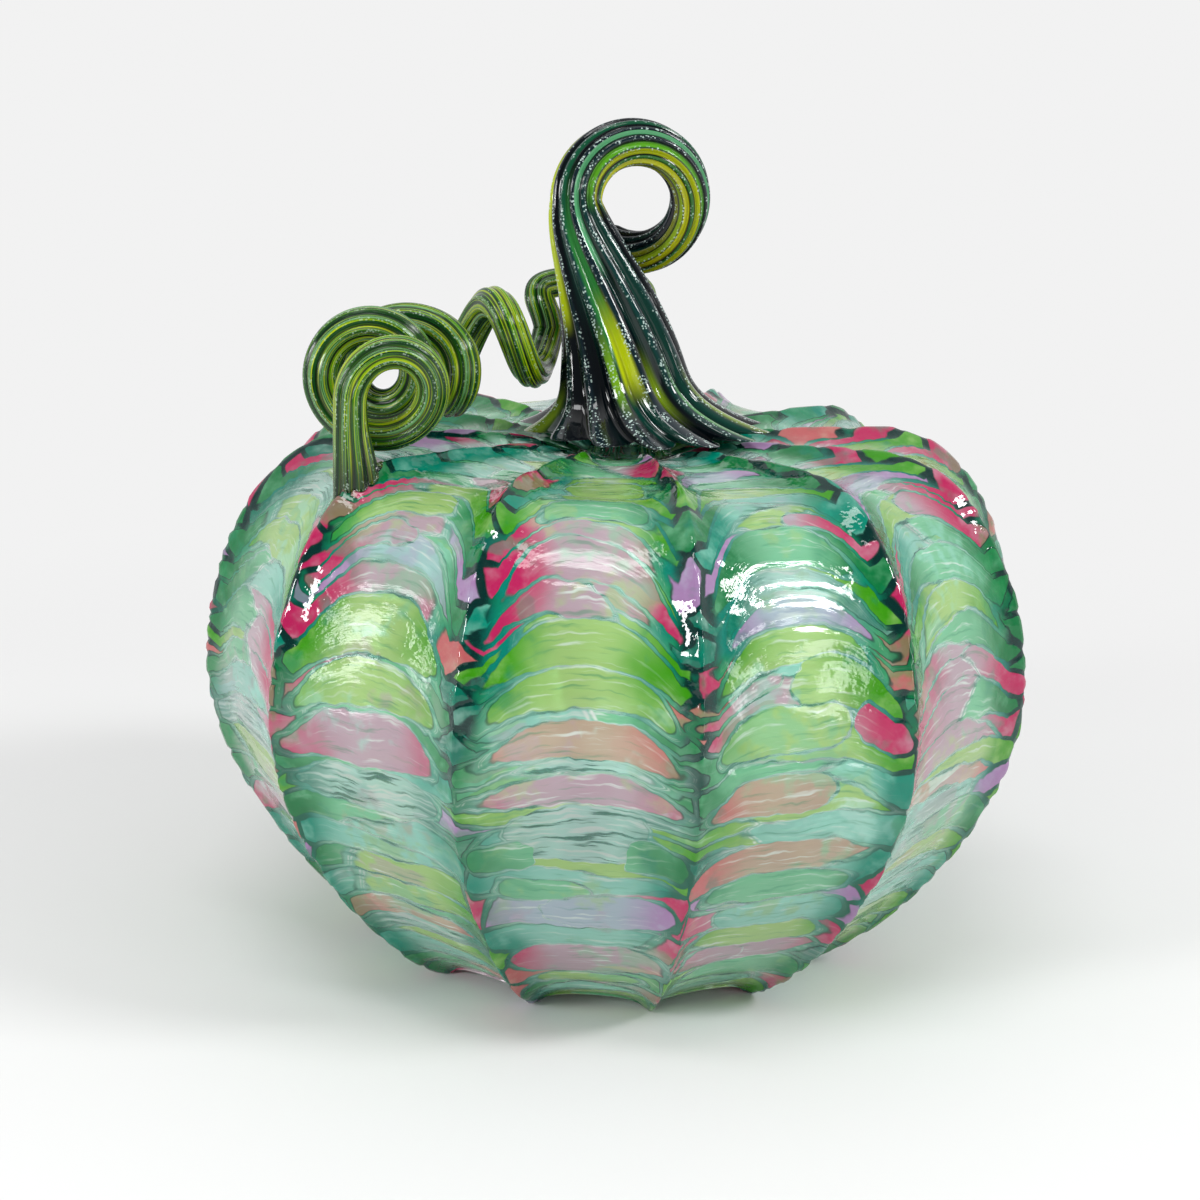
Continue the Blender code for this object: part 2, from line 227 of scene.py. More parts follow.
# Where the body's glass goes from thick to thin, across half a panel and down the ridge, how wide a ridge
# is, and where the glass between its chips turns teal
THIN_ACROSS = (0.20, 0.86)
THIN_BELOW = (0.085, 0.125)
THIN_LOW_GAIN = 0.22
DRIFT_IN_THIN = 1.1
RIDGE_HALF_WIDTH = (0.10, 0.24)
LOW_GAP_AT = (0.100, 0.145)

# Widths at the chips' edges, as shares of a chip's height: on the ribs and in the panels
GAP_WIDTHS = (0.090, 0.020)
GAP_SOFTNESS = (0.018, 0.030)
OUTLINE_WIDTH = 0.030
# The width of the painted highlight on the chips' edges
CREST_HIGHLIGHT_WIDTH = 0.012
UNDER_CHIP_SCALE = 0.6

# How fine the noises are, in lumps a metre, or along the drawn lines, and how deep the surfaces' detail is
BRUSHED_FINENESS = 1.3
WAVER_FINENESS = 38.0
DRIFT_FINENESS = 55.0
CHIP_DRIFT_FINENESS = 70.0
SMUDGE_FINENESS = 140.0
MOTTLE_FINENESS = 200.0
RAGGED_FINENESS = 300.0
PIT_FINENESS = 380.0
# Painted glints on the canes: how fine their patches and their white dots are
GLINT_PATCH_FINENESS = 330.0
GLINT_FINENESS = 1700.0
GRAIN_FINENESS = 6.0
PIT_DEPTH = 0.0003
GRAIN_DEPTH = 0.0002
GLASS_IOR = 1.5

# Chips laid in the front panels: turn, half length in turns, level, half height, slope and glass
PANEL_CHIPS = (
    (-0.50, 0.45, 0.0695, 0.0048, 0.005, "pink"),
    (-0.66, 0.30, 0.0765, 0.0036, 0.010, "pink"),
    (-0.48, 0.45, 0.0862, 0.0052, 0.0, "lime"),
    (-0.50, 0.44, 0.0955, 0.0045, 0.0, "lime"),
    (-0.48, 0.42, 0.1062, 0.0041, 0.0, "salmon"),
    (-0.48, 0.33, 0.1117, 0.0014, 0.0, "clear"),
    (-0.49, 0.47, 0.1168, 0.0033, 0.0, "pink"),
    (-0.50, 0.32, 0.1275, 0.0070, 0.0, "clear"),
    (-0.84, 0.13, 0.1335, 0.0045, -0.01, "green"),
    (-0.15, 0.12, 0.1325, 0.0045, 0.01, "green"),
    (-0.68, 0.22, 0.1425, 0.0030, 0.0, "green"),
    (-0.36, 0.35, 0.1490, 0.0052, 0.0, "lavender"),
    (-0.50, 0.45, 0.1680, 0.0062, 0.0, "pink"),
    (-0.50, 0.42, 0.1775, 0.0026, 0.0, "lime"),
    (-0.48, 0.30, 0.0400, 0.0060, 0.0, "lime"),
    (-0.52, 0.30, 0.0535, 0.0050, 0.0, "green"),
    (0.75, 0.22, 0.0575, 0.0024, -0.012, "pink"),
    (0.45, 0.38, 0.0665, 0.0056, 0.0, "green"),
    (0.50, 0.42, 0.0805, 0.0026, 0.0, "lavender"),
    (0.45, 0.42, 0.0870, 0.0038, 0.0, "lime"),
    (0.18, 0.20, 0.0935, 0.0022, 0.0, "pink"),
    (0.70, 0.28, 0.0950, 0.0060, 0.0, "lime"),
    (0.88, 0.13, 0.1020, 0.0052, 0.0, "pink"),
    (0.40, 0.34, 0.1040, 0.0050, 0.0, "lime"),
    (0.36, 0.30, 0.1180, 0.0045, 0.0, "salmon"),
    (0.27, 0.24, 0.1675, 0.0040, 0.0, "pink"),
    (0.50, 0.42, 0.1430, 0.0040, 0.0, "green"),
    (0.58, 0.38, 0.1520, 0.0052, 0.0, "mint"),
    (0.50, 0.40, 0.1600, 0.0040, 0.0, "lime"),
    (-1.55, 0.42, 0.0880, 0.0065, 0.0, "lime"),
    (-1.50, 0.42, 0.1000, 0.0048, 0.0, "lime"),
    (-1.50, 0.40, 0.1230, 0.0050, 0.0, "clear"),
    (-1.52, 0.44, 0.1115, 0.0060, 0.0, "pink"),
    (-1.60, 0.34, 0.0575, 0.0045, 0.0, "lime"),
    (-1.70, 0.26, 0.0680, 0.0035, 0.0, "pink"),
    (1.75, 0.30, 0.0600, 0.0040, 0.0, "pink"),
)

# The glass of the chips on the front ribs: rib, distance down its ridge, half height and glass
RIB_CHIPS = (
    (-1, 0.0505, 0.0042, "pink"),
    (-1, 0.0630, 0.0050, "lime"),
    (-1, 0.0725, 0.0034, "pink"),
    (-1, 0.0792, 0.0030, "lavender"),
    (-1, 0.0885, 0.0056, "salmon"),
    (-1, 0.1040, 0.0080, "clear"),
    (-1, 0.1480, 0.0070, "pink"),
    (0, 0.0450, 0.0040, "pink"),
    (0, 0.0610, 0.0060, "green"),
    (0, 0.0750, 0.0048, "lavender"),
    (0, 0.0870, 0.0062, "clear"),
    (0, 0.0965, 0.0026, "pink"),
    (0, 0.1025, 0.0038, "salmon"),
    (0, 0.1480, 0.0090, "pink"),
    (0, 0.1650, 0.0060, "pink"),
    (1, 0.0815, 0.0036, "pink"),
    (1, 0.0880, 0.0050, "clear"),
    (1, 0.1060, 0.0048, "pink"),
    (1, 0.1155, 0.0040, "pink"),
    (1, 0.1240, 0.0036, "pink"),
    (-2, 0.0640, 0.0048, "pink"),
    (-2, 0.0720, 0.0030, "clear"),
    (-2, 0.0820, 0.0048, "pink"),
    (2, 0.0660, 0.0060, "pink"),
    (2, 0.0770, 0.0045, "pink"),
    (2, 0.0830, 0.0015, "clear"),
    (2, 0.0880, 0.0034, "salmon"),
    (2, 0.1000, 0.0060, "green"),
    (2, 0.1130, 0.0036, "pink"),
)

# Stem: its dark glass, its ridges, its painted glints, and its streaks. A streak has its place round the
# cane in turns, its half width, its start and end along the cane, and its colour
STEM_BLACK = "03090f"
STEM_TEAL = "0b3a30"
STEM_RIDGE = "16323c"
# Painted glints: white dots along the stem's ridges
STEM_GLINT = "d0e8e0"
STEM_DRAWING = (3.0, 12.0)
STREAK_WAVER = 0.02
STREAK_START = 0.004
STREAK_END = 0.008
STEM_STREAKS = (
    (0.320, 0.026, 0.016, 0.050, "2a7434"),
    (0.330, 0.024, 0.010, 0.025, "b4c212"),
    (0.290, 0.014, 0.008, 0.020, "6c9c1a"),
    (0.385, 0.020, 0.006, 0.012, "7d9c16"),
    (0.150, 0.028, 0.026, 0.058, "a4b414"),
    (0.385, 0.016, 0.036, 0.110, "4f9a68"),
    (0.300, 0.014, 0.045, 0.120, "0f4a30"),
    (0.475, 0.026, 0.050, 0.130, "4f921c"),
    (0.525, 0.026, 0.048, 0.130, "aab40e"),
    (0.570, 0.018, 0.048, 0.130, "245f1c"),
    (0.615, 0.028, 0.048, 0.130, "b9bc12"),
    (0.665, 0.026, 0.048, 0.130, "86a21a"),
    (0.715, 0.026, 0.048, 0.130, "6c7210"),
    (0.440, 0.014, 0.001, 0.010, "3f8a3c"),
    (0.500, 0.014, 0.001, 0.007, "8aa43c"),
    (0.080, 0.020, 0.001, 0.006, "7c9a24"),
)

# Tendril: the painted shade of its grooves, its pad, its painted glints, and its stripes by a noise from 0
# to 1
TENDRIL_GROOVE_SHADE = "020e07"
TENDRIL_PAD_DARK = "031810"
# Painted glints: white dots along the tendril's ridges
TENDRIL_GLINT = "d4ecd8"
TENDRIL_DRAWING = (3.8, 8.0)
TENDRIL_STRIPES = (
    (0.30, "010805"),
    (0.39, "0c4a14"),
    (0.425, "020e08"),
    (0.485, "3f8a0c"),
    (0.515, "bccc0e"),
    (0.545, "063018"),
    (0.60, "74b468"),
    (0.62, "02140e"),
    (0.70, "4e8810"),
)


def smooth(t):
    t = min(max(t, 0.0), 1.0)
    return t * t * (3.0 - 2.0 * t)


def mix(a, b, t):
    return a + (b - a) * t


def bezier(a, b, c, d, t):
    s = 1.0 - t
    return a * s**3 + b * (3.0 * s * s * t) + c * (3.0 * s * t * t) + d * t**3


def colour(code):
    """Six hexadecimal digits of sRGB as the linear values that Blender's sockets take."""
    values = [int(code[i : i + 2], 16) / 255.0 for i in (0, 2, 4)]
    return (*[v / 12.92 if v <= 0.04045 else ((v + 0.055) / 1.055) ** 2.4 for v in values], 1.0)


class Number:
    """A number in a node tree, on which Python's own operators add Math nodes."""

    def __init__(self, tree, socket):
        self.tree = tree
        self.socket = socket

    def maths(self, operation, *others):
        node = add(self.tree, "ShaderNodeMath", (self, *others), operation=operation)
        return Number(self.tree, node.outputs[0])

    __add__ = __radd__ = partialmethod(maths, "ADD")
    __sub__ = partialmethod(maths, "SUBTRACT")
    __mul__ = __rmul__ = partialmethod(maths, "MULTIPLY")
    __truediv__ = partialmethod(maths, "DIVIDE")
    abs = partialmethod(maths, "ABSOLUTE")
    sign = partialmethod(maths, "SIGN")
    floor = partialmethod(maths, "FLOOR")
    power = partialmethod(maths, "POWER")
    min = partialmethod(maths, "MINIMUM")
    max = partialmethod(maths, "MAXIMUM")
    below = partialmethod(maths, "LESS_THAN")
    above = partialmethod(maths, "GREATER_THAN")
    sine = partialmethod(maths, "SINE")
    cosine = partialmethod(maths, "COSINE")

    def __rsub__(self, other):
        return self * -1.0 + other

    def step(self, low, high, to_low=0.0, to_high=1.0):
        """Goes smoothly from one value to another while the number goes from low to high."""
        inputs = {"Value": self, "From Min": low, "From Max": high, "To Min": to_low, "To Max": to_high}
        node = add(self.tree, "ShaderNodeMapRange", inputs, interpolation_type="SMOOTHSTEP")
        return Number(self.tree, node.outputs[0])


def placed(name, data):
    """A new object, linked into the scene."""
    thing = bpy.data.objects.new(name, data)
    bpy.context.scene.collection.objects.link(thing)
    return thing


def connect(tree, node, key, value):
    """Sets a node's input to a value, or links it from a socket or a Number."""
    value = value.socket if isinstance(value, Number) else value
    if isinstance(value, bpy.types.NodeSocket):
        tree.links.new(value, node.inputs[key])
    else:
        node.inputs[key].default_value = value


def add(tree, kind, inputs=(), **settings):
    """A new node in a tree, with its inputs given in order or by name."""
    node = tree.nodes.new(kind)
    for name, value in settings.items():
        setattr(node, name, value)
    for key, value in inputs.items() if isinstance(inputs, dict) else enumerate(inputs):
        connect(tree, node, key, value)
    return node


def out(tree, kind, inputs=(), **settings):
    """The first output of a new node."""
    return add(tree, kind, inputs, **settings).outputs[0]


def between(factor, first, second):
    """first where the factor is 0, second where it is 1."""
    return first + factor * (second - first)


def blend(tree, factor, first, second):
    """Two colours mixed. A colour may be written as six hexadecimal digits."""
    first, second = (colour(value) if isinstance(value, str) else value for value in (first, second))
    node = add(tree, "ShaderNodeMix", data_type="RGBA")
    connect(tree, node, 0, factor)
    connect(tree, node, 6, first)
    connect(tree, node, 7, second)
    return node.outputs[2]


def vector(tree, x, y=0.0, z=0.0):
    return out(tree, "ShaderNodeCombineXYZ", (x, y, z))


def parts_of(tree, place):
    node = add(tree, "ShaderNodeSeparateXYZ", (place,))
    return [Number(tree, socket) for socket in node.outputs]


def vectors(tree, operation, first, second):
    """Maths on two vectors, or on a vector and the number that scales it."""
    second_key = "Scale" if operation == "SCALE" else 1
    inputs = {0: first, second_key: second}
    return out(tree, "ShaderNodeVectorMath", inputs, operation=operation)


def noise(tree, place, scale, detail=2.0, roughness=0.5):
    """Soft noise round 0, mostly from -0.25 to 0.25."""
    inputs = {"Vector": place, "Scale": scale, "Detail": detail, "Roughness": roughness}
    return Number(tree, out(tree, "ShaderNodeTexNoise", inputs)) - 0.5


def cells(tree, place):
    """Random cells about a unit wide: a cell's number, its middle, and the distance to its edge."""
    inputs = {"Vector": place, "Scale": 1.0, "Randomness": 1.0}
    cell = add(tree, "ShaderNodeTexVoronoi", inputs, voronoi_dimensions="2D")
    edge = add(tree, "ShaderNodeTexVoronoi", inputs, voronoi_dimensions="2D", feature="DISTANCE_TO_EDGE")
    number = parts_of(tree, cell.outputs["Color"])[0]
    return number, parts_of(tree, cell.outputs["Position"]), Number(tree, edge.outputs["Distance"])


# The pattern of chips, which both shapes the body's mesh and colours it


def pick_of(glass, on_rib):
    """The number that picks a glass: the middle of its share, counted from 1 on the ribs."""
    names = list(CHIP_GLASSES)
    before = sum(CHIP_GLASSES[name][on_rib] for name in names[: names.index(glass)])
    return on_rib + before + 0.5 * CHIP_GLASSES[glass][on_rib]


def chip_layer(kind):
    """A node group that lays one chip over the pattern: a long rounded plate that picks its own glass."""
    layer = bpy.data.node_groups.new("Laid chip", kind)
    labels = ["Pick", "Edge", "Turn", "Level"]
    labels += ["At", "Half length", "Chip level", "Half height", "Slope", "Chosen", "Unit"]
    for label in labels:
        layer.interface.new_socket(label, in_out="INPUT", socket_type="NodeSocketFloat")
    for label in ("Pick", "Edge"):
        layer.interface.new_socket(label, in_out="OUTPUT", socket_type="NodeSocketFloat")
    start = layer.nodes.new("NodeGroupInput")
    given = {label: Number(layer, start.outputs[label]) for label in labels}
    beside = given["Turn"] - given["At"]
    across = beside / given["Half length"]
    up = (given["Level"] - beside * given["Slope"] - given["Chip level"]) / given["Half height"]
    square = across * across
    reach = (square * square + up * up).power(0.5)
    inside = reach.below(1.0)
    rim = (reach - 1.0).abs() * given["Half height"] / given["Unit"]
    pick = between(inside, given["Pick"], given["Chosen"])
    edge = between(inside, given["Edge"].min(rim), rim)
    add(layer, "NodeGroupOutput", (pick, edge))
    return layer


def lay_chips(tree, pick, edge, turn, level):
    """Lays the front panels' chips over the pattern, one after another."""
    layer = chip_layer(tree.bl_idname)
    for *sizes, glass in PANEL_CHIPS:
        node = tree.nodes.new(tree.bl_idname.replace("NodeTree", "NodeGroup"))
        node.node_tree = layer
        for key, value in enumerate((pick, edge, turn, level, *sizes, pick_of(glass, 0), CHIP_HEIGHT)):
            connect(tree, node, key, value)
        pick, edge = (Number(tree, socket) for socket in node.outputs)
    return pick, edge


def choose_beads(pick, rib, level):
    """Gives cells on the front ribs their own glass. rib and level are those of a cell's middle."""
    for number, at, half_height, glass in RIB_CHIPS:
        above = smooth((at - DROOP_ENDS[0]) / (DROOP_ENDS[1] - DROOP_ENDS[0]))
        middle = at - CHIP_DROOP * (1.0 - above)
        inside = (level - middle).abs().below(half_height) * (rib - number).abs().below(0.25)
        pick = between(inside, pick, pick_of(glass, 1))
    return pick


def chip_pattern(tree, place, turn, down, fraying):
    """Where a point lies among the chips.

    place is its position, turn counts ribs to the right of the first one, and down is the distance down
    the ridge. The chips' edges are drawn out sideways into fine lines, by up to the distance fraying.
    """
    turn = (turn - SEAM_TURN).maths("FLOORED_MODULO", RIB_COUNT) + SEAM_TURN
    rib = (turn + 0.5).floor()
    aside = (turn - rib) * 2.0
    middle = aside.abs()
    held = ((middle - CHIP_DROOP_FROM) / (1.0 - CHIP_DROOP_FROM)).max(0.0)
    droop = (1.0 - held).power(3.0) * down.step(*DROOP_ENDS, CHIP_DROOP, 0.0) * down.step(*DROOP_STARTS)
    waver = noise(tree, place, WAVER_FINENESS, 4.0, 0.6)
    level = down - droop + waver * CHIP_WAVER
    lines = vector(tree, turn * LINES_A_RIB, level * LINES_A_METRE)
    level = level + noise(tree, lines, 1.0, 3.0) * middle.step(0.1, 0.5) * fraying

    # One cell sits on each rib and one spans each panel. They all end at a seam down the middle of the back
    hold = down.step(*LOW_HOLD_AT, RIB_HOLD, LOW_RIB_HOLD)
    spread = (middle / hold + 1.0).maths("LOGARITHM", 1.0 + hold.power(-1.0))
    across = rib * 2.0 + aside.sign() * spread
    flow = vector(tree, across, level / CHIP_HEIGHT)
    pick, (cell_across, cell_level, _), edge = cells(tree, flow)
    to_seam = RIB_COUNT - (across - 2.0 * SEAM_TURN - RIB_COUNT).abs()
    edge = edge.min(to_seam + waver * 0.5)
    cell_turn = cell_across * 0.5
    on_rib = (cell_turn * math.tau).cosine().above(0.0)
    pick = choose_beads(pick + on_rib, cell_turn, cell_level * CHIP_HEIGHT)
    drifted = turn + noise(tree, place, CHIP_DRIFT_FINENESS, 3.0) * CHIP_DRIFT
    pick, edge = lay_chips(tree, pick, edge, drifted, level)
    return {
        "middle": middle,
        "flow": flow,
        "lines": lines,
        "pick": pick,
        "edge": edge,
        "on_rib": pick.above(1.0),
    }


# Geometry trees


def new_tree(name, inputs):
    """A Geometry Nodes tree with named inputs, and a dictionary of their sockets inside the tree."""
    tree = bpy.data.node_groups.new(name, "GeometryNodeTree")
    kinds = {float: "Float", int: "Int", bpy.types.Object: "Object", bpy.types.Material: "Material"}
    for label, value in inputs.items():
        kind = "NodeSocket" + kinds[type(value)]
        tree.interface.new_socket(label, in_out="INPUT", socket_type=kind)
    tree.interface.new_socket("Geometry", in_out="OUTPUT", socket_type="NodeSocketGeometry")
    start = tree.nodes.new("NodeGroupInput")
    sockets = {}
    for label, value in inputs.items():
        plain = isinstance(value, (float, int))
        sockets[label] = Number(tree, start.outputs[label]) if plain else start.outputs[label]
    return tree, sockets


def grown(name, tree, inputs):
    """The plain mesh object that a tree makes from its inputs."""
    holder = placed(name, bpy.data.meshes.new(name + "_seed"))
    modifier = holder.modifiers.new("Grow", "NODES")
    modifier.node_group = tree
    for item in tree.interface.items_tree:
        if item.in_out == "INPUT":
            modifier[item.identifier] = inputs[item.name]
    bpy.context.view_layer.update()
    graph = bpy.context.evaluated_depsgraph_get()
    ready = holder.evaluated_get(graph)
    mesh = bpy.data.meshes.new_from_object(ready, preserve_all_data_layers=True, depsgraph=graph)
    mesh.name = name
    holder.modifiers.remove(modifier)
    holder.data = mesh
    for slot in reversed(range(len(mesh.materials))):
        if mesh.materials[slot] is None:
            mesh.materials.pop(index=slot)
    return holder


def line_object(name, points, attributes):
    """Points joined in a line, with numbers or vectors kept on them, for a tree to read."""
    mesh = bpy.data.meshes.new(name)
    mesh.from_pydata(points, [(i, i + 1) for i in range(len(points) - 1)], [])
    for label, values in attributes.items():
        if isinstance(values[0], float):
            mesh.attributes.new(label, "FLOAT", "POINT").data.foreach_set("value", values)
        else:
            flat = [part for value in values for part in value]
            mesh.attributes.new(label, "FLOAT_VECTOR", "POINT").data.foreach_set("vector", flat)
    return placed(name, mesh)


def position_in(tree):
    return out(tree, "GeometryNodeInputPosition")


def kept(tree, label, kind="FLOAT"):
    """What the points or faces of a mesh keep under a name."""
    return out(tree, "GeometryNodeInputNamedAttribute", {"Name": label}, data_type=kind)


def read_line(tree, geometry, row, label, kind="FLOAT"):
    """What a line object keeps at one of its points."""
    value = position_in(tree) if label == "position" else kept(tree, label, kind)
    inputs = {"Geometry": geometry, "Value": value, "Index": row}
    return out(tree, "GeometryNodeSampleIndex", inputs, data_type=kind)


def store(tree, geometry, label, value, kind="FLOAT", domain="POINT"):
    inputs = {"Geometry": geometry, "Name": label, "Value": value}
    return out(tree, "GeometryNodeStoreNamedAttribute", inputs, data_type=kind, domain=domain)


def finish_tree(tree, geometry, glass):
    """Ends a tree with one smooth, real mesh of one glass, and returns that mesh's socket."""
    smoothed = out(tree, "GeometryNodeSetShadeSmooth", {"Geometry": geometry, "Shade Smooth": True})
    real = out(tree, "GeometryNodeRealizeInstances", (smoothed,))
    return out(tree, "GeometryNodeSetMaterial", {"Geometry": real, "Material": glass})


# Body


def ridge_line():
    """(radius, height, share of the panel depth) down a ridge, from the pipe hole to the pontil mark."""
    shares = [row / LINE_STEPS for row in range(LINE_STEPS)]
    line = []
    for t in shares:
        radius = mix(PIPE_HOLE_RADIUS, SHOULDER_RADIUS, t)
        height = SHOULDER_HEIGHT - DIMPLE_DEPTH * (1.0 - t) ** DIMPLE_TIGHTNESS
        line.append((radius, height, mix(HOLE_RIBBING, SHOULDER_RIBBING, smooth(t))))
    for t in shares:
        angle = math.radians(90.0) * t
        radius = mix(SHOULDER_RADIUS, BODY_RADIUS, math.sin(angle))
        height = mix(BELLY_HEIGHT, SHOULDER_HEIGHT, math.cos(angle))
        line.append((radius, height, mix(SHOULDER_RIBBING, 1.0, math.sin(angle))))
    belly = Vector((BODY_RADIUS, BELLY_HEIGHT))
    foot = Vector((FOOT_RADIUS, -FOOT_GRIND))
    below_belly = belly - Vector((0.0, BELLY_FULLNESS))
    above_foot = foot + Vector((math.cos(FOOT_SLOPE), math.sin(FOOT_SLOPE))) * FOOT_FULLNESS
    for t in shares:
        point = bezier(belly, below_belly, above_foot, foot, t)
        line.append((point.x, point.y, mix(1.0, FOOT_RIBBING, t)))
    for t in (*shares, 1.0):
        radius = mix(FOOT_RADIUS, PONTIL_RADIUS, t)
        height = mix(-FOOT_GRIND, UNDERSIDE_RISE, smooth(mix(UNDERSIDE_STEP, 1.0, t)) if t else 0.0)
        line.append((radius, height, mix(FOOT_RIBBING, 0.0, t)))
    line.append((0.0, UNDERSIDE_RISE, 0.0))
    return [Vector(point) for point in line]


def even_rows(line, count):
    """The ridge line as even rows, each with its point and distance down, and their outward directions."""
    down = [0.0]
    for before, after in zip(line, line[1:]):
        down.append(down[-1] + (after.xy - before.xy).length)
    rows = []
    i = 0
    for row in range(count):
        distance = down[-1] * row / (count - 1)
        while i < len(line) - 2 and down[i + 1] < distance:
            i += 1
        t = (distance - down[i]) / (down[i + 1] - down[i])
        rows.append((line[i].lerp(line[i + 1], t), distance))
    outward = []
    for row in range(count):
        along = rows[min(row + 1, count - 1)][0].xy - rows[max(row - 1, 0)][0].xy
        outward.append(Vector((-along.y, 0.0, along.x)).normalized())
    outward[-1] = Vector((0.0, 0.0, -1.0))
    return rows, outward


def ribbed_skin(tree, given, rows, row_step, wall):
    """One face of the body's wall: a grid wrapped round the axis and drawn in between the ribs.

    The outer face has chips that stand proud. The inner one begins at the outer one's rim, and so closes
    the pipe hole.
    """
    columns = RIB_COUNT * COLUMNS_PER_RIB
    steps = rows if wall else rows - 1
    sizes = {"Size X": 1.0, "Size Y": 1.0, "Vertices X": columns + 1, "Vertices Y": steps + 1}
    flat_grid = out(tree, "GeometryNodeMeshGrid", sizes)
    x, y, _ = parts_of(tree, position_in(tree))
    step = ((y + 0.5) * steps).maths("ROUND")
    row = (step - 1.0).max(0.0) * row_step if wall else step
    line = add(tree, "GeometryNodeObjectInfo", (given["Ridge line"],)).outputs["Geometry"]
    even = x * RIB_COUNT
    rib = (even + 0.5).floor()
    aside = (even - rib) * 2.0
    crowded = aside.sign() * aside.abs().power(given["Ridge crowding"])
    turn = rib + crowded * 0.5
    across = (turn * math.pi).sine().abs()
    rounded = (across * across + RIDGE_ROUNDING * RIDGE_ROUNDING).power(0.5) - RIDGE_ROUNDING
    share = (1.0 - rounded) / (rounded * given["Ridge sharpness"] + 1.0)
    ribbing = Number(tree, read_line(tree, line, row, "ribbing"))
    down = Number(tree, read_line(tree, line, row, "down"))
    grid = store(tree, flat_grid, "down", down)
    inset = (1.0 - share) * ribbing * given["Panel depth"]
    if wall:
        ribbed = share * ribbing.step(0.0, 0.2)
        inset = inset + between(ribbed, given["Panel wall"], given["Rib wall"]) * step.min(1.0)
    radius, _, height = parts_of(tree, read_line(tree, line, row, "position", "FLOAT_VECTOR"))
    out_radius, _, out_height = parts_of(tree, read_line(tree, line, row, "outward", "FLOAT_VECTOR"))
    angle = turn * RIB_PITCH + given["First rib"]
    sine = angle.sine()
    cosine = angle.cosine()
    if not wall:
        bare_radius = radius - out_radius * inset
        place = vector(tree, bare_radius * sine, bare_radius * cosine * -1.0, height - out_height * inset)
        inset = inset - chip_relief(tree, chip_pattern(tree, place, turn, down, 0.0), down)
    reach = (radius - out_radius * inset).max(0.0) * radius.above(WELD_DISTANCE)
    level = (height - out_height * inset).max(0.0)
    place = vector(tree, reach * sine, reach * cosine * -1.0, level)
    skin = out(tree, "GeometryNodeSetPosition", {"Geometry": grid, "Position": place})
    if not wall:
        skin = out(tree, "GeometryNodeFlipFaces", (skin,))
    return skin


def chip_relief(tree, chips, down):
    """How far the glass stands proud: chips are low cushions, and the panels are faintly rippled."""
    cushion = chips["edge"].step(0.0, CUSHION_EDGE) * between(chips["on_rib"], CHIP_RELIEF, RIB_CHIP_RELIEF)
    ripple = noise(tree, chips["lines"], 0.7) * chips["middle"].step(0.15, 0.6) * RIPPLE_RELIEF
    ends = down.step(*RELIEF_STARTS) * down.step(*RELIEF_ENDS, 1.0, 0.0)
    return (cushion + ripple) * ends


def make_body():
    """The hollow body: an outer face with chips, and a plain inner one."""
    rows, outward = even_rows(ridge_line(), ROW_COUNT)
    attributes = {
        "ribbing": [point.z for point, _ in rows],
        "down": [distance for _, distance in rows],
        "outward": outward,
    }
    line = line_object("ridge_line", [(point.x, 0.0, point.y) for point, _ in rows], attributes)
    inputs = {
        "Ridge line": line,
        "First rib": FIRST_RIB,
        "Ridge crowding": RIDGE_CROWDING,
        "Ridge sharpness": RIDGE_SHARPNESS,
        "Panel depth": PANEL_DEPTH,
        "Panel wall": PANEL_WALL,
        "Rib wall": RIB_WALL,
        "Chips": chip_glass(),
        "Inside": inside_glass(),
    }
    tree, given = new_tree("Ribbed bubble", inputs)
    outer = ribbed_skin(tree, given, ROW_COUNT, 1, False)
    inner = ribbed_skin(tree, given, (ROW_COUNT - 1) // INNER_ROW_STEP + 1, INNER_ROW_STEP, True)
    inner = store(tree, inner, "inner", 1.0, domain="FACE")
    joined = add(tree, "GeometryNodeJoinGeometry")
    tree.links.new(outer, joined.inputs[0])
    tree.links.new(inner, joined.inputs[0])
    shell = {"Geometry": joined.outputs[0], "Distance": WELD_DISTANCE}
    dressed = finish_tree(tree, out(tree, "GeometryNodeMergeByDistance", shell), given["Chips"])
    lined = {"Geometry": dressed, "Selection": kept(tree, "inner"), "Material": given["Inside"]}
    add(tree, "NodeGroupOutput", (out(tree, "GeometryNodeSetMaterial", lined),))
    body = grown("blown_body", tree, inputs)
    bpy.data.objects.remove(line)
    return body


# Canes of drawn glass


def rounded_end(t):
    """1 up to the start of a cane's tip, then falling as a half circle does, to nearly 0 at its end."""
    return math.sqrt(1.0 - 0.98 * min(max(t, 0.0), 1.0) ** 2)


def stem_flare(climb):
    """The share of the foot's spread that is left at a height above the foot."""
    return min(max(1.0 - climb / STEM_FLARE_HEIGHT, 0.0), 1.0) ** STEM_FLARE_TIGHTNESS


def seat_rings(middle, radius):
    """Points and radii of the rings that close a cane's end where it lies on the body."""
    gap = Vector((0.0, 0.0, SEAT_GAP / SEAT_RINGS))
    points = [middle - gap * (SEAT_RINGS - ring) for ring in range(SEAT_RINGS)]
    radii = [radius * max(ring, 0.02) / SEAT_RINGS for ring in range(SEAT_RINGS)]
    return points, radii


